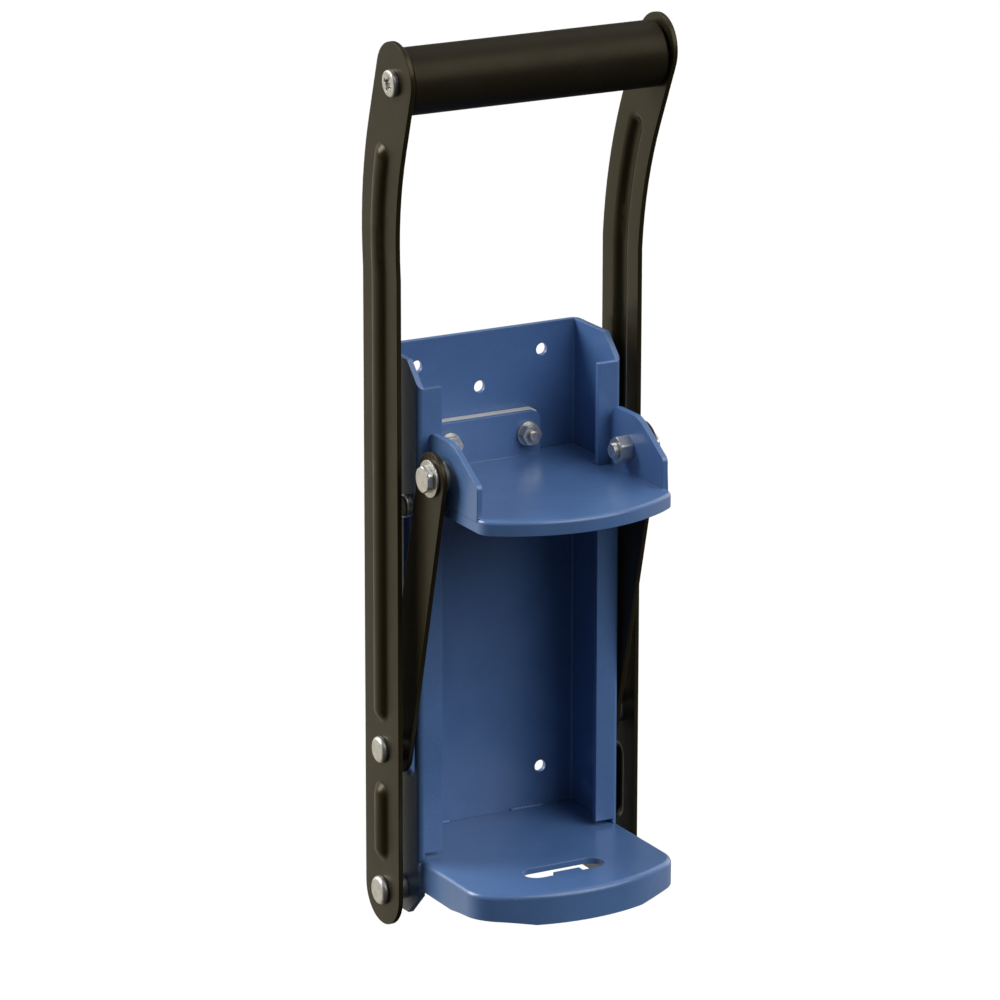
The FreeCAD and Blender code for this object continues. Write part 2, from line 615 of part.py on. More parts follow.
GRIP_IN = "(%s - $arm_gauge / 2 / cos($splay_deg))" % GRIP_MID
GRIP_OUT = "(%s + $arm_gauge / 2 / cos($splay_deg))" % GRIP_MID
CROWN_F = TOP_F % (CX_BEND, "($grip_run + $grip_crown)")
CROWN_Z = "($bend_low_z + %s)" % (UP % "($grip_run + $grip_crown)")
BEND_F = TOP_F % (CX_BEND, "0")
BEND_Z = "($bend_low_z + $bend_rad * sin($bend_deg))"
# local X towards the wall, local Y upwards, local Z towards +X
SECTOR = Rotation(Vector(0, 1, 0), Vector(0, 0, 1), Vector(1, 0, 0), "ZXY")


def lean(o):
    """Lean an upright upper piece outwards about the strip's middle plane."""
    o.Placement = Placement(Vector(0, 0, 0), Rotation(Vector(0, 1, 0), 1.0))
    bind(o, "Placement.Rotation.Angle", "$splay_deg")
    bind(o, "Placement.Base.x", "%s - (%s * cos($splay_deg) + %s * sin($splay_deg))" % (MID, MID, LEAN_Z))
    bind(o, "Placement.Base.z", "%s - (%s * cos($splay_deg) - %s * sin($splay_deg))" % (LEAN_Z, LEAN_Z, MID))
    return o


def mitre(tag, upper):
    """Block above (in the upright frame) or below the mitre plane."""
    o = doc.addObject("Part::Box", tag)
    o.Length = 40
    o.Width = 240
    o.Height = 300
    y = "0 - ($arm_f + 120)"
    if upper:
        place(o, "%s - 20 * cos($splay_deg / 2)" % MID, y,
              "%s - 20 * sin($splay_deg / 2)" % LEAN_Z, Rotation(Vector(0, 1, 0), -1.0))
        bind(o, "Placement.Rotation.Angle", "0 - $splay_deg / 2")
        o.Placement.Rotation.Axis = Vector(0, 1, 0)
    else:
        place(o, "%s - 20 * cos($splay_deg / 2) - 300 * sin($splay_deg / 2)" % MID, y,
              "%s + 20 * sin($splay_deg / 2) - 300 * cos($splay_deg / 2)" % LEAN_Z,
              Rotation(Vector(0, 1, 0), 1.0))
        bind(o, "Placement.Rotation.Angle", "$splay_deg / 2")
    return o


def ring_sector(tag, rad, x0, x1, angle):
    o = doc.addObject("Part::Cylinder", tag)
    bind(o, "Radius", rad)
    bind(o, "Height", "(%s) - (%s)" % (x1, x0))
    bind(o, "Angle", angle)
    return place(o, x0, "0 - " + CX_BEND, "$bend_low_z", SECTOR)


def rib_outline(rise, crown, foot, foot_h, sink, half_only):
    """Section of a pressed rib: crown arc, hollow foot arcs, then straight into the sheet.
    X is the height over the sheet's face, Y the distance from the rib's centre line."""
    drop = foot_h - (rise - crown)
    d = math.sqrt((crown + foot) ** 2 - drop ** 2)
    w = d - math.sqrt(foot ** 2 - foot_h ** 2)
    ty, th = crown * d / (crown + foot), rise - crown + crown * drop / (crown + foot)
    a0 = math.atan2(th - foot_h, ty - d)
    a1 = math.atan2(0 - foot_h, w - d)
    if a0 > 0:
        a0 -= 2 * math.pi
    am = (a0 + a1) / 2.0
    my, mh = d + foot * math.cos(am), foot_h + foot * math.sin(am)
    if half_only:
        q = math.atan2(ty, th - (rise - crown)) / 2.0
        cy, ch = crown * math.sin(q), rise - crown + crown * math.cos(q)
        edges = [Part.Arc(Vector(rise, 0, 0), Vector(ch, cy, 0), Vector(th, ty, 0)).toShape(),
                 Part.Arc(Vector(th, ty, 0), Vector(mh, my, 0), Vector(0, w, 0)).toShape(),
                 Part.makeLine(Vector(0, w, 0), Vector(-sink, w, 0)),
                 Part.makeLine(Vector(-sink, w, 0), Vector(-sink, 0, 0)),
                 Part.makeLine(Vector(-sink, 0, 0), Vector(rise, 0, 0))]
    else:
        edges = [Part.Arc(Vector(0, -w, 0), Vector(mh, -my, 0), Vector(th, -ty, 0)).toShape(),
                 Part.Arc(Vector(th, -ty, 0), Vector(rise, 0, 0), Vector(th, ty, 0)).toShape(),
                 Part.Arc(Vector(th, ty, 0), Vector(mh, my, 0), Vector(0, w, 0)).toShape(),
                 Part.makeLine(Vector(0, w, 0), Vector(-sink, w, 0)),
                 Part.makeLine(Vector(-sink, w, 0), Vector(-sink, -w, 0)),
                 Part.makeLine(Vector(-sink, -w, 0), Vector(0, -w, 0))]
    return Part.Face(Part.Wire(edges))


def rib_pieces(tag, crown, foot, foot_h, sink, face):
    """Pressed rib standing rib_rise proud of the plane x = face: lower and upper pieces."""
    whole = rib_outline(D["rib_rise"], crown, foot, foot_h, sink, False)
    half = rib_outline(D["rib_rise"], crown, foot, foot_h, sink, True)

    def end(name, f, z):
        """Rounded end: half the section turned about its own centre line."""
        o = doc.addObject("Part::Feature", name)
        o.Shape = half.revolve(Vector(0, 0, 0), Vector(1, 0, 0), 360)
        return place(o, face, "0 - (%s)" % f, z)

    def run(name, z0, z1):
        """Straight length between two heights."""
        sec = doc.addObject("Part::Feature", name + "Section")
        sec.Shape = whole
        place(sec, face, "0 - $arm_f", z0)
        o = doc.addObject("Part::Extrusion", name)
        o.Base = sec
        o.DirMode = "Custom"
        o.Dir = Vector(0, 0, 1)
        bind(o, "LengthFwd", "(%s) - (%s)" % (z1, z0))
        o.Solid = True
        return o

    leg = run(tag + "Leg", "$rib_low_z", LEAN_Z + " + 1")
    low = end(tag + "Low", "$arm_f", "$rib_low_z")
    short = run(tag + "Foot", "$foot_rib_low", "$foot_rib_high")
    short_a = end(tag + "FootLow", "$arm_f", "$foot_rib_low")
    short_b = end(tag + "FootHigh", "$arm_f", "$foot_rib_high")
    lap = run(tag + "Lap", LEAN_Z + " - 1", "$bend_low_z")
    sec = doc.addObject("Part::Feature", tag + "BendSection")
    sec.Shape = whole
    place(sec, face, "0 - $arm_f", "$bend_low_z")
    turn = doc.addObject("Part::Revolution", tag + "Bend")
    turn.Source = sec
    turn.Axis = Vector(1, 0, 0)
    turn.Base = Vector(0, -(D["arm_f"] + D["bend_rad"]), D["bend_low_z"])
    bind(turn, "Angle", "$rib_deg")
    turn.Solid = True
    top = end(tag + "End", "%s - $bend_rad * cos($rib_deg)" % CX_BEND,
              "$bend_low_z + $bend_rad * sin($rib_deg)")
    return [leg, low, short, short_a, short_b], [lap, turn, top]


FOOT_H = D["rib_foot"] * math.cos(math.radians(D["rib_foot_deg"]))
ro_low, ro_up = rib_pieces("RibOut", D["rib_crown"], D["rib_foot"], FOOT_H, 0.8, "$arm_out")
# the groove behind it keeps the sheet's thickness all the way across
ri_low, ri_up = rib_pieces("RibIn", D["rib_crown"] - D["arm_gauge"], D["rib_foot"] + D["arm_gauge"],
                           FOOT_H + D["arm_gauge"], 0.5, ARM_IN)
a_foot = rod_x("ArmFoot", "$arm_half", ARM_IN, "$arm_out", "$arm_f", "$arm_pin_z")
a_leg = box("ArmLeg", ARM_IN, "$arm_out", "$arm_f - $arm_half", "$arm_f + $arm_half",
            "$arm_pin_z", LEAN_Z + " + 1")
low_rib = fuse("LowRib", ro_low)
low_arm = common("LowArm", [fuse("LowArmWhole", [a_foot, a_leg, low_rib]), mitre("LowMitre", False)])
low_groove = common("LowGroove", [fuse("LowGrooveWhole", ri_low), mitre("LowGrooveMitre", False)])

a_lap = box("ArmLap", ARM_IN, "$arm_out", "$arm_f - $arm_half", "$arm_f + $arm_half",
            LEAN_Z + " - 1", "$bend_low_z")
a_sec = ring_sector("ArmBendOuter", "$bend_rad + $arm_half", ARM_IN, "$arm_out", "$bend_deg")
a_hub = rod_x("ArmBendInner", "$bend_rad - $arm_half", ARM_IN + " - 1", "$arm_out + 1", CX_BEND,
              "$bend_low_z")
a_bend = cut("ArmBend", a_sec, a_hub)
a_run = doc.addObject("Part::Box", "ArmRun")
bind(a_run, "Length", "$arm_gauge")
bind(a_run, "Width", "2 * $arm_half")
bind(a_run, "Height", "$grip_run + $grip_crown")
place(a_run, ARM_IN, "0 - (%s + $arm_half * cos($bend_deg))" % BEND_F,
      "%s - $arm_half * sin($bend_deg)" % BEND_Z, Rotation(Vector(1, 0, 0), 1.0))
bind(a_run, "Placement.Rotation.Angle", "$bend_deg")
a_top = rod_x("ArmCrown", "$arm_half", ARM_IN, "$arm_out", CROWN_F, CROWN_Z)
up_rib = fuse("UpRib", ro_up)
up_arm = lean(common("UpArm", [fuse("UpArmWhole", [a_lap, a_bend, a_run, a_top, up_rib]),
                               mitre("UpMitre", True)]))
up_groove = lean(common("UpGroove", [fuse("UpGrooveWhole", ri_up), mitre("UpGrooveMitre", True)]))
a_ribbed = fuse("ArmRibbed", [low_arm, up_arm])
a_pin = rod_x("ArmPinBore", "$shoulder_rad + $shoulder_play", "$arm_out - 8", "$arm_out + 8",
              "$arm_f", "$arm_pin_z")
a_riv = rod_x("ArmRivetBore", "$shoulder_rad", "$arm_out - 8", "$arm_out + 8", "$arm_f", "$link_pin_z")
a_scr = rod_x("ArmScrewBore", "2.7", "$arm_out - 8", "$arm_out + 12", GRIP_F, GRIP_Z)
arm_1 = cut("ArmGrooveLow", a_ribbed, low_groove)
arm_2 = cut("ArmGrooveUp", arm_1, up_groove)
arm_r = cut("RightArm", arm_2, fuse("ArmBores", [a_pin, a_riv, a_scr]))
node(arm_r, "right_arm")
node(mirror("LeftArm", arm_r), "left_arm")

# ---------------------------------------------------------------- grip
# Screwed up between the two arms; its flat ends clear the leaning strips.
GRIP_END = "%s - $grip_rad * tan($splay_deg) - 0.15" % GRIP_IN
g_out = rod_x("GripOuter", "$grip_rad", "0 - (%s)" % GRIP_END, GRIP_END, GRIP_F, GRIP_Z)


def grip_rim(e):
    x0, x1, f0, f1, z0, z1 = span(e)
    return near(x0, x1) and f1 - f0 > 10


g_out_r = round_edges("GripRounded", g_out, grip_rim, 0.8)
g_in = rod_x("GripInner", "$grip_rad - $grip_wall", "-62", "62", GRIP_F, GRIP_Z)
node(cut("GripTube", g_out_r, g_in), "grip_tube")
p_a = rod_x("PlugBody", "$grip_rad - $grip_wall - 0.05", GRIP_END + " - 12", GRIP_END + " + 0.1",
            GRIP_F, GRIP_Z)
p_b = rod_x("PlugBore", "2.53", GRIP_END + " - 14", GRIP_END + " + 2", GRIP_F, GRIP_Z)
p_r = cut("PlugRight", p_a, p_b)
node(group("GripPlugs", [p_r, mirror("PlugLeft", p_r)]), "grip_plugs")
# the pan head is made at the origin and then laid on the leaning strip
s_h = rod_x("GripScrewHeadRaw", "5.4", "0.05", "2.3", "0", "0")
s_hr = rim_fillet("GripScrewHeadRound", s_h, 2.3, 1.0, 5)
x_a = box("CrossAcross", "0.9", "5", "-3.2", "3.2", "-0.72", "0.72")
x_b = box("CrossUp", "0.9", "5", "-0.72", "0.72", "-3.2", "3.2")
x_c = doc.addObject("Part::Cone", "CrossPit")
x_c.Radius1, x_c.Radius2, x_c.Height = 1.2, 2.1, 2.0
place(x_c, "0.6", "0", "0", Rotation(Vector(0, 1, 0), 90))
cross = fuse("CrossRecess", [x_a, x_b, x_c])
cross.Placement = Placement(Vector(0, 0, 0), Rotation(Vector(1, 0, 0), 24))
s_head = cut("GripScrewHead", s_hr, cross)
s_head.Placement = Placement(Vector(0, 0, 0), Rotation(Vector(0, 1, 0), 1.0))
bind(s_head, "Placement.Rotation.Angle", "$splay_deg")
bind(s_head, "Placement.Base.x", GRIP_OUT)
bind(s_head, "Placement.Base.y", "0 - " + GRIP_F)
bind(s_head, "Placement.Base.z", GRIP_Z)
s_s = rod_x("GripScrewShank", "2.5", GRIP_OUT + " - 14", GRIP_OUT + " + 0.4", GRIP_F, GRIP_Z)
s_r = fuse("GripScrewRight", [s_head, s_s])
node(group("GripScrews", [s_r, mirror("GripScrewLeft", s_r)]), "grip_screws")

# ---------------------------------------------------------------- lever pivots
b_h = rod_x("LeverBoltHead", "6.0", "$arm_out + 0.15", "$arm_out + 2.6", "$arm_f", "$arm_pin_z")
b_hr = rim_fillet("LeverBoltHeadRound", b_h, D["arm_out"] + 2.6, 1.8, 5)
b_s = rod_x("LeverBoltShoulder", "$shoulder_rad", "$frame_half + 0.05", "$arm_out + 1", "$arm_f",
            "$arm_pin_z")
b_t = rod_x("LeverBoltThread", "$thread_rad", "$frame_half - $frame_gauge - 7.4",
            "$frame_half + 1", "$arm_f", "$arm_pin_z")
b_r = fuse("LeverBoltRight", [b_hr, b_s, b_t])
node(group("LeverPivotBolts", [b_r, mirror("LeverBoltLeft", b_r)]), "lever_pivot_bolts")
node(ring_x("LeverPivotSpacers", "5.2", "$shoulder_rad + 0.05", "$frame_half + 0.05",
            ARM_IN + " - 0.3", "$arm_f", "$arm_pin_z"), "lever_pivot_spacers")
ln_a = hex_x("LeverNutHex", "5.8", "$frame_half - $frame_gauge - 5.6",
             "$frame_half - $frame_gauge - 0.05", "$arm_f", "$arm_pin_z")
ln_d = rod_x("LeverNutTurn", "5.5", "$frame_half - $frame_gauge - 5.6",
             "$frame_half - $frame_gauge - 0.05", "$arm_f", "$arm_pin_z")
ln_b = rod_x("LeverNutEye", "$thread_rad + 0.03", "$frame_half - $frame_gauge - 7",
             "$frame_half", "$arm_f", "$arm_pin_z")
ln = chamfered_nut("LeverNutRight", ln_a, ln_b, ln_d)
node(group("LeverPivotNuts", [ln, mirror("LeverNutLeft", ln)]), "lever_pivot_nuts")

# ---------------------------------------------------------------- lower link rivets
# The rivet stays with the arm; a separate bush in the link's eye faces it.
r_h = rod_x("RivetHead", "5.5", "$arm_out + 0.05", "$arm_out + 2.3", "$arm_f", "$link_pin_z")
r_hr = rim_fillet("RivetHeadRound", r_h, D["arm_out"] + 2.3, 1.6, 5)
r_s = rod_x("RivetShank", "$shoulder_rad - 0.03", ARM_IN + " - 1.3", "$arm_out + 1", "$arm_f",
            "$link_pin_z")
r_c = rod_x("RivetCollar", "5.6", ARM_IN + " - 1.3", ARM_IN + " - 0.05", "$arm_f", "$link_pin_z")
r_r = fuse("RivetRight", [r_hr, r_s, r_c])
node(group("ArmLinkRivets", [r_r, mirror("RivetLeft", r_r)]), "arm_link_rivets")
u_a = rod_x("BushFlange", "6.0", LINK_OUT + " + 0.05", ARM_IN + " - 2.2", "$arm_f", "$link_pin_z")
u_b = rod_x("BushShank", "$shoulder_rad - 0.03", "$link_in", LINK_OUT + " + 1", "$arm_f", "$link_pin_z")
u_r = fuse("BushRight", [u_a, u_b])
node(u_r, "right_link_bush")
node(mirror("BushLeft", u_r), "left_link_bush")

# ---------------------------------------------------------------- links
LEAN = math.degrees(math.atan2(D["head_pin_f"] - D["arm_f"], D["head_pin_z"] - D["link_pin_z"]))
l_low = rod_x("LinkLowEye", "$link_half", "$link_in", LINK_OUT, "$arm_f", "$link_pin_z")
l_top = rod_x("LinkTopEye", "$link_half", "$link_in", LINK_OUT, "$head_pin_f", "$head_pin_z")
l_bar = doc.addObject("Part::Box", "LinkBar")
bind(l_bar, "Length", "$link_gauge")
bind(l_bar, "Width", "2 * $link_half")
bind(l_bar, "Height",
     "sqrt(pow($head_pin_f - $arm_f; 2) + pow($head_pin_z - $link_pin_z; 2))")
place(l_bar, "$link_in", "0 - ($arm_f + $link_half * %f)" % math.cos(math.radians(LEAN)),
      "$link_pin_z - $link_half * %f" % math.sin(math.radians(LEAN)),
      Rotation(Vector(1, 0, 0), LEAN))
l_all = fuse("LinkBlank", [l_low, l_bar, l_top])
l_h1 = rod_x("LinkTopBore", "$shoulder_rad + $shoulder_play", "$link_in - 2", LINK_OUT + " + 2",
             "$head_pin_f", "$head_pin_z")
l_h2 = rod_x("LinkLowBore", "$shoulder_rad", "$link_in - 2", LINK_OUT + " + 2", "$arm_f",
             "$link_pin_z")
l_r = cut("RightLink", l_all, fuse("LinkTools", [l_h1, l_h2]))
node(l_r, "right_link")
node(mirror("LeftLink", l_r), "left_link")

# ---------------------------------------------------------------- wall screws' washers are the user's own
doc.recompute()

bad = []
for o in doc.Objects:
    if any(s in ("Invalid", "Error") for s in o.State):
        bad.append(o.Name)
if bad:
    raise RuntimeError("objects in error: " + ", ".join(bad))

os.makedirs("parts", exist_ok=True)
for o in NODES:
    sh = o.Shape
    if sh.isNull() or not sh.isValid() or not sh.Solids:
        raise RuntimeError("bad shape: " + o.Label)
    sh.exportStep("parts/" + o.Label + ".step")
    b = sh.BoundBox
    print("%-22s solids %d  x %.1f..%.1f  y %.1f..%.1f  z %.1f..%.1f  vol %.0f" % (
        o.Label, len(sh.Solids), b.XMin, b.XMax, b.YMin, b.YMax, b.ZMin, b.ZMax, sh.Volume))
print("nodes", len(NODES))
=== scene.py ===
import math
import bmesh  # noqa: E402
import bpy  # noqa: E402
from mathutils import Matrix, Vector  # noqa: E402


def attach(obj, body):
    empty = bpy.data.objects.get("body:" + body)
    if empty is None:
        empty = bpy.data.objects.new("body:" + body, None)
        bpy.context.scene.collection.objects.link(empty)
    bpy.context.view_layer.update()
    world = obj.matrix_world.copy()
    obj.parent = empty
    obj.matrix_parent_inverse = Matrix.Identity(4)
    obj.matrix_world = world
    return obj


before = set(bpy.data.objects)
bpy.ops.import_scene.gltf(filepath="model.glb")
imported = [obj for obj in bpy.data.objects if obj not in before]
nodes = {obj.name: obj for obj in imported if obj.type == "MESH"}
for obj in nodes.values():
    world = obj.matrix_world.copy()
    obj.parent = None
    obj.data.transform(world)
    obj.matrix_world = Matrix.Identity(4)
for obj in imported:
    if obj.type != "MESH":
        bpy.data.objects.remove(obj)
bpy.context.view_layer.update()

scene = bpy.context.scene
MM = 0.001


# ---------------------------------------------------------------- camera
YAW, PITCH, ROLL = math.radians(28.847), math.radians(16.591), math.radians(0.0945)


def make_camera():
    data = bpy.data.cameras.new("camera")
    data.sensor_width = 36.0
    data.lens = 206.17
    data.clip_start, data.clip_end = 0.05, 60.0
    cam = bpy.data.objects.new("camera", data)
    scene.collection.objects.link(cam)
    d = Vector((math.sin(YAW) * math.cos(PITCH), math.cos(YAW) * math.cos(PITCH), -math.sin(PITCH)))
    r = Vector((math.cos(YAW), -math.sin(YAW), 0.0))
    u = r.cross(d)
    r2 = r * math.cos(ROLL) + u * math.sin(ROLL)
    u2 = u * math.cos(ROLL) - r * math.sin(ROLL)
    m = Matrix((r2, u2, -d)).transposed().to_4x4()
    m.translation = Vector((-1.06354, -1.95029, 0.69068))
    cam.matrix_world = m
    scene.camera = cam


make_camera()
scene.view_settings.view_transform = "Standard"
scene.view_settings.look = "None"
scene.view_settings.exposure = 0.0
scene.view_settings.gamma = 1.0


# ---------------------------------------------------------------- node helpers
class Mat:
    """A node material under construction: a principled shader and the nodes that feed it."""

    def __init__(self, name):
        self.mat = bpy.data.materials.new(name)
        self.mat.use_nodes = True
        self.nt = self.mat.node_tree
        self.nt.nodes.clear()
        self.out = self.node("ShaderNodeOutputMaterial")
        self.bsdf = self.node("ShaderNodeBsdfPrincipled")
        self.link(self.bsdf.outputs[0], self.out.inputs["Surface"])
        self.coord = self.node("ShaderNodeTexCoord").outputs["Object"]

    def node(self, kind, **props):
        n = self.nt.nodes.new(kind)
        for k, v in props.items():
            setattr(n, k, v)
        return n

    def link(self, a, b):
        self.nt.links.new(a, b)

    def set(self, name, value):
        self.bsdf.inputs[name].default_value = value

    def noise(self, scale, detail=3.0, rough=0.55, distort=0.0, stretch=None, seed=(0, 0, 0)):
        m = self.node("ShaderNodeMapping")
        m.inputs["Location"].default_value = seed
        if stretch:
            m.inputs["Scale"].default_value = stretch
        self.link(self.coord, m.inputs["Vector"])
        n = self.node("ShaderNodeTexNoise")
        n.inputs["Scale"].default_value = scale
        n.inputs["Detail"].default_value = detail
        n.inputs["Roughness"].default_value = rough
        n.inputs["Distortion"].default_value = distort
        self.link(m.outputs[0], n.inputs["Vector"])
        return n.outputs["Fac"]

    def voronoi(self, scale, feature="F1", seed=(0, 0, 0)):
        m = self.node("ShaderNodeMapping")
        m.inputs["Location"].default_value = seed
        self.link(self.coord, m.inputs["Vector"])
        n = self.node("ShaderNodeTexVoronoi", feature=feature)
        n.inputs["Scale"].default_value = scale
        self.link(m.outputs[0], n.inputs["Vector"])
        return n

    def span(self, value, a, b, lo, hi):
        """Maps value from a..b to lo..hi, smooth and clamped."""
        n = self.node("ShaderNodeMapRange", interpolation_type="SMOOTHSTEP")
        n.inputs["From Min"].default_value = a
        n.inputs["From Max"].default_value = b
        n.inputs["To Min"].default_value = lo
        n.inputs["To Max"].default_value = hi
        self.link(value, n.inputs["Value"])
        return n.outputs["Result"]

    def ramp(self, value, stops):
        n = self.node("ShaderNodeValToRGB")
        el = n.color_ramp.elements
        while len(el) > 1:
            el.remove(el[-1])
        el[0].position, el[0].color = stops[0][0], (*stops[0][1], 1)
        for pos, col in stops[1:]:
            e = el.new(pos)
            e.color = (*col, 1)
        self.link(value, n.inputs["Fac"])
        return n.outputs["Color"]

    def math(self, op, a, b=None):
        n = self.node("ShaderNodeMath", operation=op)
        for i, v in enumerate((a, b)):
            if v is None:
                continue
            if isinstance(v, (int, float)):
                n.inputs[i].default_value = v
            else:
                self.link(v, n.inputs[i])
        return n.outputs[0]

    def mix(self, fac, a, b):
        """Colour mix of a socket or plain colour a with b by the socket fac."""
        n = self.node("ShaderNodeMix", data_type="RGBA")
        self.link(fac, n.inputs[0])
        for i, v in ((6, a), (7, b)):
            if isinstance(v, tuple):
                n.inputs[i].default_value = (*v, 1)
            else:
                self.link(v, n.inputs[i])
        return n.outputs[2]

    def bump(self, height, strength, distance, normal=None):
        n = self.node("ShaderNodeBump")
        n.inputs["Strength"].default_value = strength
        n.inputs["Distance"].default_value = distance
        self.link(height, n.inputs["Height"])
        if normal is not None:
            self.link(normal, n.inputs["Normal"])
        return n.outputs[0]

    def edge(self, radius, samples=6):
        """1 on an edge and 0 away from it: how far the rounded normal leaves the true one."""
        b = self.node("ShaderNodeBevel", samples=samples)
        b.inputs["Radius"].default_value = radius
        g = self.node("ShaderNodeNewGeometry")
        d = self.node("ShaderNodeVectorMath", operation="DOT_PRODUCT")
        self.link(b.outputs[0], d.inputs[0])
        self.link(g.outputs["Normal"], d.inputs[1])
        return self.span(d.outputs["Value"], 0.995, 0.80, 0.0, 1.0)


# ---------------------------------------------------------------- materials
def enamel(name, dark, base, light, worn, rough, coat, grain, peel, gloss=0.5, tint=(1.0, 1.0, 1.0)):
    """Baked enamel on pressed steel: cloudy tone, fine speckle, orange peel, edges a little thin."""
    m = Mat(name)
    cloud = m.noise(28.0, 4.0, 0.6, 0.4)
    tone = m.ramp(cloud, [(0.30, dark), (0.52, base), (0.74, light)])
    speck = m.span(m.noise(1300.0, 1.0, 0.5, seed=(3.1, 0.4, 1.7)), 0.60, 0.80, 0.0, grain)
    tone = m.mix(speck, tone, worn)
    scuff = m.noise(60.0, 6.0, 0.7, 1.2, stretch=(1.0, 1.0, 0.35), seed=(7.0, 2.0, 5.0))
    edge = m.edge(0.45 * MM)
    thin = m.math("MULTIPLY", edge, m.span(scuff, 0.46, 0.66, 0.05, 0.55))
    tone = m.mix(thin, tone, worn)
    m.link(tone, m.bsdf.inputs["Base Color"])
    r = m.span(m.noise(45.0, 5.0, 0.62, 0.8, seed=(1.0, 9.0, 4.0)), 0.32, 0.70, rough - 0.03, rough + 0.07)
    m.link(r, m.bsdf.inputs["Roughness"])
    m.set("Specular IOR Level", gloss)
    m.set("Specular Tint", (*tint, 1.0))
    m.set("IOR", 1.5)
    m.set("Coat Weight", coat)
    m.set("Coat Roughness", 0.22)
    n1 = m.bump(m.noise(430.0, 1.0, 0.4, seed=(0.3, 0.9, 2.2)), peel, 0.05 * MM)
    m.link(n1, m.bsdf.inputs["Normal"])
    return m.mat


def plated_zinc(name, base, light, warm, rough):
    """Bright zinc plate: spangled grey, a faint warm passivate, a fine mottle in roughness and a fine bump."""
    m = Mat(name)
    cell = m.voronoi(420.0, seed=(0.2, 0.4, 0.9))
    spangle = m.span(cell.outputs["Distance"], 0.1, 0.8, 0.0, 1.0)
    tone = m.mix(spangle, base, light)
    stain = m.span(m.noise(90.0, 4.0, 0.6, 0.5), 0.45, 0.72, 0.0, 0.55)
    tone = m.mix(stain, tone, warm)
    m.link(tone, m.bsdf.inputs["Base Color"])
    m.set("Metallic", 1.0)
    fine = m.noise(1500.0, 4.0, 0.65, seed=(4.0, 4.0, 1.0))
    m.link(m.span(fine, 0.3, 0.72, rough - 0.06, rough + 0.12), m.bsdf.inputs["Roughness"])
    n1 = m.bump(m.noise(900.0, 3.0, 0.6, seed=(1.0, 2.0, 3.0)), 0.18, 0.02 * MM)
    m.link(n1, m.bsdf.inputs["Normal"])
    return m.mat


def moulded(name, dark, light, rough, scatter, grain):
    """Moulded plastic: a soft mottle, fine spark-eroded grain, slightly rubbed edges."""
    m = Mat(name)
    tone = m.ramp(m.noise(140.0, 3.0, 0.6), [(0.32, dark), (0.70, light)])
    edge = m.edge(0.3 * MM)
    tone = m.mix(m.math("MULTIPLY", edge, 0.35), tone, tuple(min(1.0, c * 1.25 + 0.01) for c in light))
    m.link(tone, m.bsdf.inputs["Base Color"])
    m.link(m.span(m.noise(700.0, 3.0, 0.6, seed=(2.0, 2.0, 6.0)), 0.3, 0.7, rough - 0.06, rough + 0.08),
           m.bsdf.inputs["Roughness"])
    if scatter:
        m.set("Subsurface Weight", scatter)
        m.set("Subsurface Radius", (1.0, 0.9, 0.7))
        m.set("Subsurface Scale", 0.0012)
    m.set("IOR", 1.52)
    n1 = m.bump(m.voronoi(2400.0).outputs["Distance"], grain, 0.02 * MM)
    m.link(n1, m.bsdf.inputs["Normal"])
    return m.mat


blue = enamel("blue_enamel", (0.076, 0.162, 0.364), (0.084, 0.178, 0.398), (0.095, 0.197, 0.432),
              (0.19, 0.28, 0.50), 0.32, 0.42, 0.35, 0.10)
black = enamel("lever_enamel", (0.0158, 0.0122, 0.0050), (0.0180, 0.0140, 0.0060), (0.0206, 0.0162, 0.0074),
               (0.058, 0.050, 0.036), 0.315, 0.02, 0.30, 0.10, 0.28, (1.0, 0.87, 0.50))
grip = enamel("grip_enamel", (0.0126, 0.0100, 0.0056), (0.0145, 0.0116, 0.0066), (0.0172, 0.0138, 0.0080),
              (0.055, 0.047, 0.036), 0.42, 0.0, 0.22, 0.07, 0.175, (1.0, 0.87, 0.58))
zinc = plated_zinc("zinc_plate", (0.58, 0.58, 0.56), (0.69, 0.685, 0.66), (0.63, 0.60, 0.52), 0.38)
nylon = moulded("natural_nylon", (0.70, 0.67, 0.60), (0.80, 0.78, 0.72), 0.46, 0.25, 0.10)
plastic = moulded("black_plastic", (0.012, 0.012, 0.013), (0.020, 0.020, 0.021), 0.50, 0.0, 0.14)

FINISH = {"frame_paint": blue, "lever_paint": black, "grip_finish": grip, "zinc": zinc,
          "nylon": nylon, "black_plastic": plastic}


# ---------------------------------------------------------------- carried-over CAD nodes
def soften(obj, width, angle=34.0, segments=2):
    """Rounds a node's sharp edges by a modifier; the node's own mesh stays as it is."""
    w = obj.modifiers.new("weld", "WELD")
    w.merge_threshold = 2e-7
    b = obj.modifiers.new("edges", "BEVEL")
    b.limit_method = "ANGLE"
    b.angle_limit = math.radians(angle)
    b.width = width
    b.segments = segments
    b.use_clamp_overlap = False
    b.loop_slide = False
    b.harden_normals = False
    b.miter_outer = "MITER_SHARP"
    n = obj.modifiers.new("normals", "WEIGHTED_NORMAL")
    n.keep_sharp = False
    n.weight = 90


EDGES = {"frame_channel": 0.22, "can_tray": 0.22, "press_head": 0.22, "left_arm": 0.22, "right_arm": 0.22,
         "left_link": 0.22, "right_link": 0.22, "rear_guide_pad": 0.25, "lever_pivot_nuts": 0.14,
         "head_pivot_nuts": 0.14, "guide_nuts": 0.12, "rear_guide_nuts": 0.12, "head_pivot_bolts": 0.14,
         "guide_bolts": 0.12, "lever_pivot_bolts": 0.14, "rear_guide_screws": 0.12, "head_pivot_washers": 0.12,
         "rear_guide_washers": 0.12, "lever_pivot_spacers": 0.15, "head_pivot_spacers": 0.15,
         "grip_screws": 0.07, "arm_link_rivets": 0.12, "left_link_bush": 0.12, "right_link_bush": 0.12}

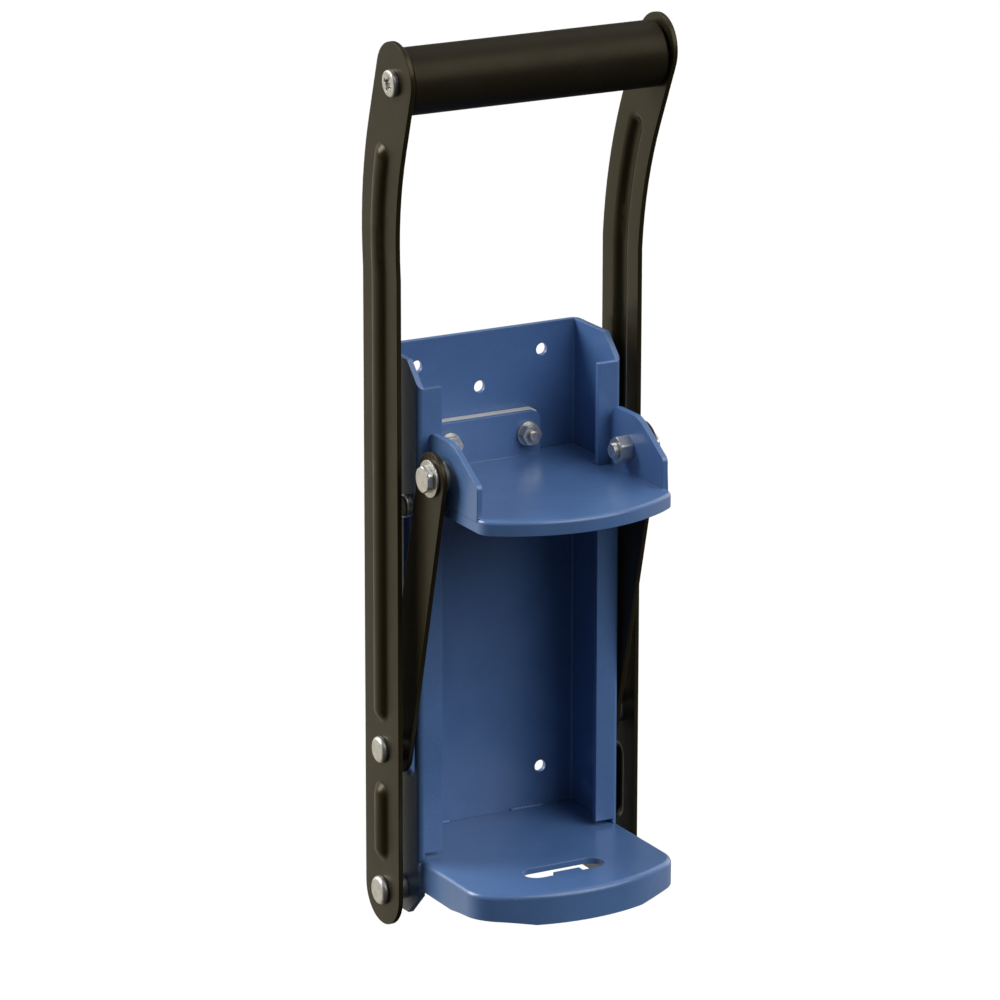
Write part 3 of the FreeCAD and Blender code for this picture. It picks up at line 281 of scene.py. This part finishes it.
for name, obj in nodes.items():
    for s in obj.material_slots:
        key = s.material.name.split(".")[0] if s.material else "zinc"
        s.material = FINISH[key]
    if name in EDGES:
        soften(obj, EDGES[name] * MM)


# ---------------------------------------------------------------- threads and weld beads
def add_piece(name, bm, material, body, smooth=True):
    me = bpy.data.meshes.new(name)
    bmesh.ops.recalc_face_normals(bm, faces=bm.faces)
    bm.to_mesh(me)
    bm.free()
    for f in me.polygons:
        f.use_smooth = smooth
    ob = bpy.data.objects.new(name, me)
    scene.collection.objects.link(ob)
    me.materials.append(material)
    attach(ob, body)
    return ob


def frame_about(axis):
    a = Vector(axis).normalized()
    u = a.orthogonal().normalized()
    return a, u, a.cross(u)


def sweep(bm, rings):
    """Joins closed rings of points into one capped tube."""
    made = [[bm.verts.new(p) for p in ring] for ring in rings]
    n = len(made[0])
    for r0, r1 in zip(made, made[1:]):
        for i in range(n):
            j = (i + 1) % n
            bm.faces.new((r0[i], r0[j], r1[j], r1[i]))
    bm.faces.new(tuple(reversed(made[0])))
    bm.faces.new(tuple(made[-1]))


def thread(bm, start, axis, length, root, depth, pitch):
    """One helical ridge on a plain shank, running out at both ends."""
    a, u, v = frame_about(axis)
    start = Vector(start)
    steps = max(24, int(28 * length / pitch))
    half = pitch * 0.40
    run = length - 2.0 * half
    rings = []
    for k in range(steps + 1):
        t = k / steps
        ang = 2.0 * math.pi * t * run / pitch
        out = (u * math.cos(ang) + v * math.sin(ang))
        fade = min(1.0, t * run / (0.35 * pitch), (1.0 - t) * run / (0.35 * pitch))
        mid = start + a * (half + t * run)
        crest = root + depth * max(0.05, fade)
        sunk = root - 0.06 * MM
        rings.append([mid - a * half + out * sunk, mid - a * (half * 0.16) + out * crest,
                      mid + a * (half * 0.16) + out * crest, mid + a * half + out * sunk])
    sweep(bm, rings)


def bead(bm, p0, p1, out, size, seed):
    """A short run of weld in a corner: overlapping puddles under the paint."""
    p0, p1, out = Vector(p0), Vector(p1), Vector(out).normalized()
    along = (p1 - p0)
    length = along.length
    along.normalize()
    side = along.cross(out).normalized()
    pitch = 1.35 * MM
    steps = max(16, int(6 * length / pitch))
    rings = []
    for k in range(steps + 1):
        t = k / steps
        s = t * length
        wave = 0.5 - 0.5 * math.cos(2.0 * math.pi * s / pitch + 0.35 * math.sin(seed + 900.0 * s))
        drift = 0.10 * math.sin(seed * 3.1 + 480.0 * s) + 0.06 * math.sin(seed + 1330.0 * s)
        end = min(1.0, s / (1.1 * size), (length - s) / (1.1 * size))
        r = size * (0.86 + 0.14 * wave + drift) * math.sqrt(max(0.02, end * (2.0 - end)))
        c = p0 + along * s + side * (size * 0.08 * math.sin(seed + 260.0 * s))
        rings.append([c + (out * math.cos(q) + side * math.sin(q)) * r
                      for q in [2.0 * math.pi * i / 12 for i in range(12)]])
    sweep(bm, rings)


def make_details():
    # bolt ends that stand past their nuts: x, y, z of the nut's face, then the way out
    bm = bmesh.new()
    for s in (1.0, -1.0):
        thread(bm, (s * 37.9 * MM, -22.0 * MM, -122.0 * MM), (-s, 0, 0), 1.75 * MM, 2.98 * MM, 0.26 * MM, 0.80 * MM)
    add_piece("lever_bolt_threads", bm, zinc, "frame")
    bm = bmesh.new()
    for s in (1.0, -1.0):
        thread(bm, (s * 34.9 * MM, -51.5 * MM, 58.0 * MM), (-s, 0, 0), 1.95 * MM, 2.98 * MM, 0.26 * MM, 0.80 * MM)
        thread(bm, (s * 35.9 * MM, -28.0 * MM, 40.5 * MM), (-s, 0, 0), 0.98 * MM, 2.48 * MM, 0.22 * MM, 0.60 * MM)
        thread(bm, (s * 18.0 * MM, -14.2 * MM, 57.0 * MM), (0, -1, 0), 1.95 * MM, 1.98 * MM, 0.22 * MM, 0.65 * MM)
    add_piece("head_bolt_threads", bm, zinc, "head")
    # the tray's skirt is welded to the flanges, and its floor to the back plate
    bm = bmesh.new()
    for s, seed in ((1.0, 1.7), (-1.0, 4.2)):
        bead(bm, (s * 45.9 * MM, -36.7 * MM, -107.5 * MM), (s * 45.9 * MM, -36.7 * MM, -117.5 * MM),
             (s, -1, 0), 1.0 * MM, seed)
        bead(bm, (s * 14.0 * MM, -2.7 * MM, -105.9 * MM), (s * 30.0 * MM, -2.7 * MM, -105.9 * MM),
             (0, -1, 1), 1.1 * MM, seed + 2.0)
    add_piece("tray_weld_beads", bm, blue, "frame")


make_details()


# ---------------------------------------------------------------- floor and light
def make_stage():
    z = -0.462
    me = bpy.data.meshes.new("floor")
    s = 9.0
    me.from_pydata([(-s, -s, z), (s, -s, z), (s, s, z), (-s, s, z)], [], [(0, 1, 2, 3)])
    floor = bpy.data.objects.new("floor", me)
    scene.collection.objects.link(floor)
    m = Mat("pale_floor")
    tone = m.ramp(m.noise(3.0, 2.0, 0.5), [(0.3, (0.80, 0.80, 0.796)), (0.7, (0.82, 0.82, 0.815))])
    m.link(tone, m.bsdf.inputs["Base Color"])
    m.set("Roughness", 0.9)
    m.set("Specular IOR Level", 0.1)
    m.set("Emission Color", (1.0, 1.0, 0.995, 1.0))
    m.set("Emission Strength", 0.05)
    me.materials.append(m.mat)
    floor.visible_diffuse = False
    floor.visible_glossy = False

    world = bpy.data.worlds.new("room")
    world.use_nodes = True
    nt = world.node_tree
    bg = nt.nodes["Background"]
    coord = nt.nodes.new("ShaderNodeTexCoord").outputs["Generated"]

    def lobe(direction, start, end, value):
        d = nt.nodes.new("ShaderNodeVectorMath")
        d.operation = "DOT_PRODUCT"
        d.inputs[1].default_value = Vector(direction).normalized()
        nt.links.new(coord, d.inputs[0])
        m = nt.nodes.new("ShaderNodeMapRange")
        m.interpolation_type = "SMOOTHSTEP"
        for key, v in (("From Min", start), ("From Max", end), ("To Min", 0.0), ("To Max", value)):
            m.inputs[key].default_value = v
        nt.links.new(d.outputs["Value"], m.inputs["Value"])
        return m.outputs["Result"]

    def blend(x, k, y):
        """x times k plus y, where y is a socket or a number."""
        n = nt.nodes.new("ShaderNodeMath")
        n.operation = "MULTIPLY_ADD"
        nt.links.new(x, n.inputs[0])
        n.inputs[1].default_value = k
        if isinstance(y, float):
            n.inputs[2].default_value = y
        else:
            nt.links.new(y, n.inputs[2])
        return n.outputs[0]

    # a dim room, darker below, softboxes above and on the right, and a broad warm backdrop behind on the left
    room = blend(lobe((0.0, 0.0, 1.0), -0.75, 0.35, 0.07), 1.0, 0.045)
    room = blend(lobe((0.30, -0.10, 1.0), 0.55, 0.98, 0.45), 1.0, room)
    room = blend(lobe((0.98, 0.05, -0.10), 0.72, 0.98, 0.42), 1.0, room)
    drop = lobe((-0.42, 0.88, -0.22), 0.40, 0.90, 0.60)
    rgb = nt.nodes.new("ShaderNodeCombineColor")
    for i, k in enumerate((1.0, 0.93, 0.76)):
        nt.links.new(blend(drop, k, room), rgb.inputs[i])
    seen = nt.nodes.new("ShaderNodeLightPath").outputs["Is Camera Ray"]
    pick = nt.nodes.new("ShaderNodeMix")
    pick.data_type = "RGBA"
    nt.links.new(seen, pick.inputs[0])
    nt.links.new(rgb.outputs[0], pick.inputs[6])
    pick.inputs[7].default_value = (0.92, 0.92, 0.92, 1.0)
    nt.links.new(pick.outputs[2], bg.inputs["Color"])
    bg.inputs["Strength"].default_value = 1.0
    scene.world = world

    def sun(name, towards, strength, spread):
        """A very wide distant light, as even as a large softbox."""
        data = bpy.data.lights.new(name, "SUN")
        data.energy = strength
        data.angle = math.radians(spread)
        ob = bpy.data.objects.new(name, data)
        scene.collection.objects.link(ob)
        ob.rotation_mode = "QUATERNION"
        ob.rotation_quaternion = Vector(towards).to_track_quat("Z", "Y")

    sun("key", (-0.64, 0.56, 0.52), 2.7, 36)
    sun("front", (0.36, -0.68, 0.62), 1.7, 52)
    sun("rim", (0.82, 0.30, 0.36), 0.7, 50)


make_stage()
